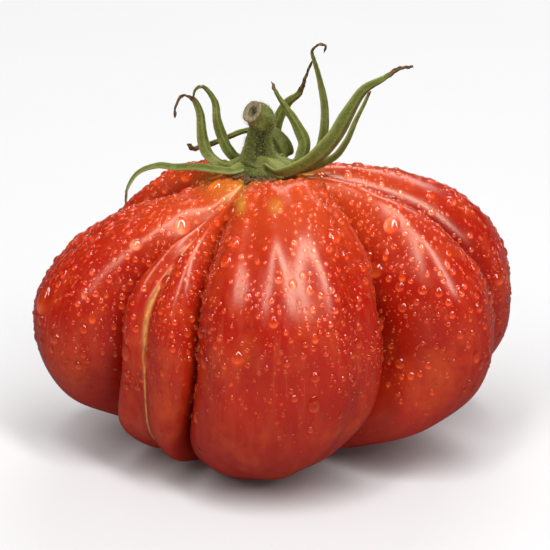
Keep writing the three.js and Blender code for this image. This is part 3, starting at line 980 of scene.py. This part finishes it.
class TOMATO_OT_flakes(bpy.types.Operator):
    """Build the brown torn flakes between the calyx and the skin"""

    bl_idname = "tomato.flakes"
    bl_label = "Corky flakes"

    def execute(self, context):
        material, tree, shader = new_material("corky_brown")
        place = place_of(tree)
        patches = place_group(tree, mottle_group(), {
            "Vector": place, "Scale": 700.0, "Amount": 1.0, "Colour": (0.13, 0.065, 0.022, 1.0),
            "Light": (0.36, 0.22, 0.08, 1.0), "Dark": (0.025, 0.012, 0.006, 1.0)})
        grain = place_group(tree, grain_group(), {"Vector": place, "Scale": 2500.0, "Pits": 0.8})
        bumped(tree, shader, grain["Height"], 0.7, 0.0002)
        roughness = remap(tree, patches["Patches"], 0.3, 0.7, 0.7, 0.95)
        connect(tree, shader, Base_Color=patches["Colour"], Roughness=roughness)
        rng = np.random.default_rng(5)
        around = 12
        points = []
        faces = []
        for _ in range(context.scene.tomato_green_settings.flake_count):
            azimuth = math.radians(rng.uniform(0, 360) if rng.random() < 0.5 else rng.uniform(-150, -40))
            radius = rng.uniform(5.6, 8.0)
            centre = np.array([STEM_AXIS_X + radius * math.cos(azimuth), radius * math.sin(azimuth),
                               SEAT_HEIGHT + rng.uniform(0.1, 1.0)]) + FOOTPRINT_SHIFT
            normal = np.array([0.5 * math.cos(azimuth), 0.5 * math.sin(azimuth), 1.0])
            normal += rng.normal(0, 0.35, 3)
            normal /= np.linalg.norm(normal)
            level, downhill = tangents_at(normal)
            size = rng.uniform(0.35, 0.95)
            long = rng.uniform(1.0, 2.2)
            angle = 2 * math.pi * np.arange(around) / around
            ragged = 1 + rng.uniform(-0.35, 0.3, around)
            curl = rng.uniform(0.1, 0.5)
            rings = []
            for share, height in ((0.5, -0.12), (0.96, -0.09), (1.0, 0.0), (0.9, 0.12), (0.45, 0.14)):
                x = size * share * ragged * np.cos(angle) * long
                y = size * share * ragged * np.sin(angle)
                z = height + curl * (share * np.cos(angle)) ** 2 * size + 0.12 * share * np.sin(3 * angle)
                rings.append(centre + x[:, None] * level + y[:, None] * downhill + z[:, None] * normal)
            body, body_faces = closed_body(np.array(rings))
            start = sum(len(p) for p in points)
            points.append(body)
            faces += [tuple(start + k for k in face) for face in body_faces]
        new_piece("corky_flakes", np.vstack(points), faces, material)
        return {"FINISHED"}


class TOMATO_OT_hairs(bpy.types.Operator):
    """Build the fine pale hairs of the stalk, calyx and sepals"""

    bl_idname = "tomato.hairs"
    bl_label = "Fine hairs"

    def execute(self, context):
        settings = context.scene.tomato_green_settings
        material, tree, shader = new_material("pale_hair")
        place = place_of(tree)
        patches = place_group(tree, mottle_group(), {
            "Vector": place, "Scale": 800.0, "Amount": 0.8, "Colour": (0.48, 0.50, 0.24, 1.0),
            "Light": (0.74, 0.74, 0.48, 1.0), "Dark": (0.26, 0.28, 0.11, 1.0)})
        roughness = remap(tree, patches["Patches"], 0.3, 0.7, 0.4, 0.6)
        connect(tree, shader, Base_Color=patches["Colour"], Roughness=roughness)
        rng = np.random.default_rng(8)
        shares = [("tomato_stalk", 0.36, 1.0), ("calyx_base", 0.2, 1.0)]
        blades = [name.replace("sepal", "blade") for name in SEPALS]
        shares += [(name, 0.44 / len(blades), 0.6) for name in blades]
        points = []
        faces = []
        for name, share, length_share in shares:
            piece = built(name)
            count = int(settings.hair_count * share)
            roots, normals, _ = scatter(piece, count, rng)
            lengths = settings.hair_length / MM * length_share * rng.uniform(0.45, 1.0, count)
            lean = normals + rng.normal(0, 0.35, (count, 3))
            lean /= np.linalg.norm(lean, axis=1, keepdims=True)
            side = np.cross(lean, rng.normal(size=(count, 3)))
            side /= np.linalg.norm(side, axis=1, keepdims=True)
            other = np.cross(lean, side)
            thick = 0.028
            start = sum(len(p) for p in points)
            corners = [roots + thick * (math.cos(a) * side + math.sin(a) * other) - 0.05 * normals
                       for a in (0, 2.1, 4.2)]
            droop = np.array([0, 0, -0.12]) * lengths[:, None]
            tips = roots + lean * lengths[:, None] + droop
            block = np.stack([*corners, tips], 1).reshape(-1, 3)
            points.append(block)
            for k in range(start, start + 4 * count, 4):
                faces += [(k, k + 1, k + 3), (k + 1, k + 2, k + 3), (k + 2, k, k + 3), (k, k + 2, k + 1)]
        new_piece("fine_hairs", np.vstack(points), faces, material)
        return {"FINISHED"}


# ---------------------------------------------------------------- water

# Detail of drops: rings, and points round a dome.
DROP_DETAIL = {"large": (9, 26), "medium": (5, 14), "small": (4, 9), "speck": (2, 6)}
DROP_SINK = 0.12
# Sizes of drops: least and largest radius in mm, and height as a share of the radius.
DROP_SIZES = {
    "large": (0.95, 2.1, 0.5),
    "medium": (0.52, 0.98, 0.52),
    "small": (0.26, 0.52, 0.5),
    "speck": (0.12, 0.26, 0.5),
}
SMALL_BIAS = 1.7
TEAR_SHARE = 0.10
DROP_GAP = 1.08
TEAR_TAPER = 0.3
ROUND_TAPER = 0.05
# Large drops get less of the painted glow.
LARGE_GLOW = 0.65


def water_material(settings):
    """Clear water that lets the lamps through to the skin, with a painted glow at its low edge: it gives off
    as emission the light it would gather there.
    """
    material, tree, shader = new_material("clear_water")
    painted_glow = mask_of(tree, "painted_glow")
    uneven = remap(tree, noise(tree, place_of(tree), 1600.0, 2.0), 0.3, 0.7, 0.8, 1.15)
    amount = calculate(tree, "MULTIPLY", painted_glow, uneven)
    # The painted glow goes out as emission.
    colour = mix_colour(tree, amount, (0, 0, 0, 1), rgba(settings.glow))
    connect(
        tree, shader, Base_Color=(1.0, 0.74, 0.50, 1.0), Roughness=0.03, IOR=1.33,
        Transmission_Weight=1.0, Coat_Weight=1.0, Coat_Roughness=0.03, Coat_IOR=1.7,
        Emission_Color=colour, Emission_Strength=0.48)
    clear = add_node(tree, "ShaderNodeBsdfTransparent")
    lamp_ray = add_node(tree, "ShaderNodeLightPath").outputs["Is Shadow Ray"]
    mixed = add_node(tree, "ShaderNodeMixShader", {0: lamp_ray, 1: shader.outputs[0], 2: clear.outputs[0]})
    tree.links.new(mixed.outputs[0], tree.nodes["Material Output"].inputs["Surface"])
    return material


def drop_dome(rings, around, length, taper, height):
    """A dome over a round patch: offsets across, downhill and out, as shares of its radius, and its painted
    glow.
    """
    angle = 2 * math.pi * np.arange(around) / around
    shares = np.sin(0.5 * math.pi * np.arange(1, rings + 1) / rings)
    across = np.concatenate([[0], np.outer(shares, np.sin(angle)).ravel()])
    down = np.concatenate([[0], np.outer(shares, np.cos(angle)).ravel()])
    share = np.concatenate([[0], np.repeat(shares, around)])
    out = height * (1 - share ** 2.3) ** 0.66
    # Painted glow: a bright crescent by the downhill rim and a weak one over the middle, for light the drop
    # would gather.
    crescent = peak(0.68, 0.24, share) * np.clip(down / np.maximum(share, 0.01), 0, 1) ** 1.5
    crescent = 0.85 * crescent + 0.2 * (1 - ease(0.72, 0.95, share))
    foot_across = np.sin(angle) * 0.97
    foot_down = np.cos(angle) * 0.97
    across = np.concatenate([across, foot_across, [0]])
    down = np.concatenate([down, foot_down, [0]])
    out = np.concatenate([out, np.full(around, -DROP_SINK), [-DROP_SINK]])
    glow = np.concatenate([crescent, np.zeros(around + 1)])
    across = across * (1 + taper * down)
    return np.stack([across, down * length, out], -1), glow


def add_drops(name, kind, drops, skin, material, follow):
    """One mesh of drops, each given as (centre, normal, radius, length, height)."""
    rings, around = DROP_DETAIL[kind]
    template = ring_faces(rings + 1, around)
    points = []
    glows = []
    faces = []
    start = 0
    for centre, normal, radius, length, height in drops:
        taper = TEAR_TAPER if length > LONG_DROP else ROUND_TAPER
        dome, glow = drop_dome(rings, around, length, taper, height)
        level, downhill = tangents_at(normal)
        dome = dome * radius
        foot = centre + dome[:, :1] * level + dome[:, 1:2] * downhill
        if follow:
            body = []
            for base, out in zip(foot, dome[:, 2]):
                near, near_normal, _, _ = skin.find_nearest(Vector(base * MM))
                mixed = (np.array(near_normal) + normal) / 2
                body.append(np.array(near) / MM + mixed * out)
            body = np.array(body)
        else:
            body = foot + dome[:, 2:] * normal
        points.append(body)
        # Drops facing up and to the front get more painted glow, as if lit more.
        lit = float(ease(-0.35, 0.45, normal[2]) * ease(0.9, -0.4, normal[1]) * 0.5 + 0.5)
        glows.append(glow * lit * (LARGE_GLOW if kind == "large" else 1.0))
        faces += [tuple(start + k for k in face) for face in template]
        start += len(body)
    piece = new_piece(name, np.vstack(points), faces, material)
    set_mask(piece, "painted_glow", np.concatenate(glows))
    return piece


def wet_weight(centre, normal):
    """How likely a drop is at a place: dense above, fading out towards the dry bottom."""
    high = ease(14, 48, centre[:, 2])
    patches = 0.75 + 0.35 * ripple(centre, 17, 61)
    return (0.03 + high) * np.clip(patches, 0.15, 1.5) * ease(-0.75, -0.1, normal[:, 2])


class TOMATO_OT_water(bpy.types.Operator):
    """Scatter water drops of all sizes over the skin"""

    bl_idname = "tomato.water"
    bl_label = "Water drops"

    def execute(self, context):
        settings = context.scene.tomato_water_settings
        fruit = built("tomato_fruit")
        skin = BVHTree.FromObject(fruit, context.evaluated_depsgraph_get())
        rng = np.random.default_rng(settings.seed)
        material = water_material(settings)
        placed = np.zeros((0, 4))
        counts = {
            "large": settings.large_count,
            "medium": settings.medium_count,
            "small": settings.small_count,
            "speck": settings.speck_count,
        }
        for kind, count in counts.items():
            least, most, height = DROP_SIZES[kind]
            roots, normals, _ = scatter(fruit, count * 2, rng, wet_weight)
            sizes = least + (most - least) * rng.uniform(0, 1, len(roots)) ** SMALL_BIAS
            lengths = rng.uniform(0.9, 1.2, len(roots))
            steep = 1 - np.abs(normals[:, 2])
            is_tear = rng.random(len(roots)) < TEAR_SHARE * steep
            lengths += np.where(is_tear, rng.uniform(0.4, 0.9, len(roots)), 0)
            drops = []
            for root, size, length in zip(roots, sizes, lengths):
                gap = np.linalg.norm(placed[:, :3] - root, axis=1)
                if (gap < (placed[:, 3] + size) * DROP_GAP).any():
                    continue
                near, near_normal, _, _ = skin.find_nearest(Vector(root * MM))
                drops.append((np.array(near) / MM, np.array(near_normal), size, length,
                              height * rng.uniform(0.85, 1.2)))
                placed = np.vstack([placed, [*root, size * max(1.0, length)]])
                if len(drops) >= count:
                    break
            add_drops("water_" + kind, kind, drops, skin, material, kind == "large")
        return {"FINISHED"}


# ---------------------------------------------------------------- stage

VIEW_MIDDLE_HEIGHT = 0.0413
FLOOR_REACH = 3.0
FLOOR_SHADE = 0.99
FLOOR_GLOSSY_SHARE = 0.2
LAMP_DISTANCE = 2.5
STRIP_LAMP = (0.42, 2.7)
SOFT_LAMP = (1.5, 0.9)
ROOM_SEEN = (0.94, 0.94, 0.945, 1.0)
ROOM_GLOSSY = 0.06
SENSOR_WIDTH = 36


def direction(azimuth, elevation):
    """Unit vector from the tomato towards a viewer; azimuth 0 is the front and turns to the right."""
    return Vector((math.sin(azimuth) * math.cos(elevation), -math.cos(azimuth) * math.cos(elevation),
                   math.sin(elevation)))


def aim(thing, target):
    thing.rotation_euler = (Vector(target) - thing.location).to_track_quat("-Z", "Y").to_euler()


def add_lamp(name, azimuth, elevation, size, power, target):
    data = bpy.data.lights.new(name, "AREA")
    data.shape = "RECTANGLE"
    data.size, data.size_y = size
    data.energy = power
    lamp = bpy.data.objects.new(name, data)
    toward = direction(math.radians(azimuth), math.radians(elevation))
    lamp.location = Vector(target) + LAMP_DISTANCE * toward
    aim(lamp, target)
    bpy.context.scene.collection.objects.link(lamp)


class TOMATO_OT_stage(bpy.types.Operator):
    """Set up the pale floor, the soft lamps and the camera"""

    bl_idname = "tomato.stage"
    bl_label = "Stage"

    def execute(self, context):
        settings = context.scene.tomato_stage_settings
        low, high = CAD_BOX
        middle = Vector(((low[0] + high[0]) / 2, (low[1] + high[1]) / 2, VIEW_MIDDLE_HEIGHT))

        material, tree, shader = new_material("pale_floor")
        place = place_of(tree)
        soft = noise(tree, place, 14.0, 2.0)
        tone = mix_colour(tree, remap(tree, soft, 0.3, 0.7), rgba(settings.floor),
                          rgba([c * FLOOR_SHADE for c in settings.floor]))
        # The tomato is lit by a greyer floor than the one that is seen, so that its sides stay deep.
        rays = add_node(tree, "ShaderNodeLightPath").outputs
        bounced = [c * settings.bounce for c in settings.floor]
        lit = mix_colour(tree, rays["Is Glossy Ray"], rgba(bounced),
                         rgba([c * FLOOR_GLOSSY_SHARE for c in bounced]))
        tone = mix_colour(tree, rays["Is Camera Ray"], lit, tone)
        connect(tree, shader, Base_Color=tone, Roughness=0.75, Specular_IOR_Level=0.25)
        mesh = bpy.data.meshes.new("studio_floor")
        corners = [(x * FLOOR_REACH, y * FLOOR_REACH, 0) for x, y in ((-1, -1), (1, -1), (1, 1), (-1, 1))]
        mesh.from_pydata(corners, [], [(0, 1, 2, 3)])
        mesh.materials.append(material)
        floor = bpy.data.objects.new("studio_floor", mesh)
        context.scene.collection.objects.link(floor)

        add_lamp("left_lamp", -30, 58, STRIP_LAMP, settings.left_power, middle)
        add_lamp("right_lamp", 34, 57, STRIP_LAMP, settings.right_power, middle)
        add_lamp("back_lamp", 170, 36, SOFT_LAMP, settings.back_power, middle)

        world = bpy.data.worlds.new("pale_room")
        world.use_nodes = True
        tree = world.node_tree
        tree.nodes.clear()
        seen = add_node(tree, "ShaderNodeBackground", {"Color": ROOM_SEEN})
        light = add_node(tree, "ShaderNodeBackground", {"Color": (1.0, 0.99, 0.98, 1.0),
                                                        "Strength": settings.ambient})
        dim = add_node(tree, "ShaderNodeBackground", {"Color": (1.0, 1.0, 1.0, 1.0), "Strength": ROOM_GLOSSY})
        rays = add_node(tree, "ShaderNodeLightPath").outputs
        plain = add_node(tree, "ShaderNodeMixShader",
                         {0: rays["Is Glossy Ray"], 1: light.outputs[0], 2: dim.outputs[0]})
        mixed = add_node(tree, "ShaderNodeMixShader",
                         {0: rays["Is Camera Ray"], 1: plain.outputs[0], 2: seen.outputs[0]})
        add_node(tree, "ShaderNodeOutputWorld", {"Surface": mixed.outputs[0]})
        world.cycles_visibility.glossy = False
        context.scene.world = world
        context.scene.view_settings.view_transform = "Standard"

        data = bpy.data.cameras.new("studio_camera")
        data.sensor_width = SENSOR_WIDTH
        data.lens = data.sensor_width * settings.distance / settings.view_width
        camera = bpy.data.objects.new("studio_camera", data)
        camera.location = middle + settings.distance * direction(0, settings.elevation)
        aim(camera, middle)
        context.scene.collection.objects.link(camera)
        bpy.context.scene.camera = camera
        return {"FINISHED"}


# ---------------------------------------------------------------- panel and registration

OPERATORS = [
    TOMATO_OT_fruit, TOMATO_OT_calyx, TOMATO_OT_stalk, TOMATO_OT_sepals, TOMATO_OT_flakes,
    TOMATO_OT_hairs, TOMATO_OT_water, TOMATO_OT_stage,
]


class TOMATO_PT_panel(bpy.types.Panel):
    """Lists the pieces of the tomato and their settings"""

    bl_idname = "TOMATO_PT_panel"
    bl_label = "Ribbed tomato"
    bl_space_type = "VIEW_3D"
    bl_region_type = "UI"
    bl_category = "Tomato"

    def draw(self, context):
        for operator in OPERATORS:
            self.layout.operator(operator.bl_idname)
        for name, group in SETTINGS.items():
            box = self.layout.box()
            for key in group.__annotations__:
                box.prop(getattr(context.scene, name), key)


def register():
    for group in SETTINGS.values():
        bpy.utils.register_class(group)
    for operator in OPERATORS:
        bpy.utils.register_class(operator)
    bpy.utils.register_class(TOMATO_PT_panel)
    for name, group in SETTINGS.items():
        setattr(bpy.types.Scene, name, PointerProperty(type=group))


def unregister():
    for name in SETTINGS:
        delattr(bpy.types.Scene, name)
    bpy.utils.unregister_class(TOMATO_PT_panel)
    for operator in reversed(OPERATORS):
        bpy.utils.unregister_class(operator)
    for group in reversed(list(SETTINGS.values())):
        bpy.utils.unregister_class(group)


def main():
    register()
    bpy.ops.tomato.fruit()
    bpy.ops.tomato.calyx()
    bpy.ops.tomato.stalk()
    bpy.ops.tomato.sepals()
    bpy.ops.tomato.flakes()
    bpy.ops.tomato.hairs()
    bpy.ops.tomato.water()
    bpy.ops.tomato.stage()


if __name__ == "__main__":
    main()
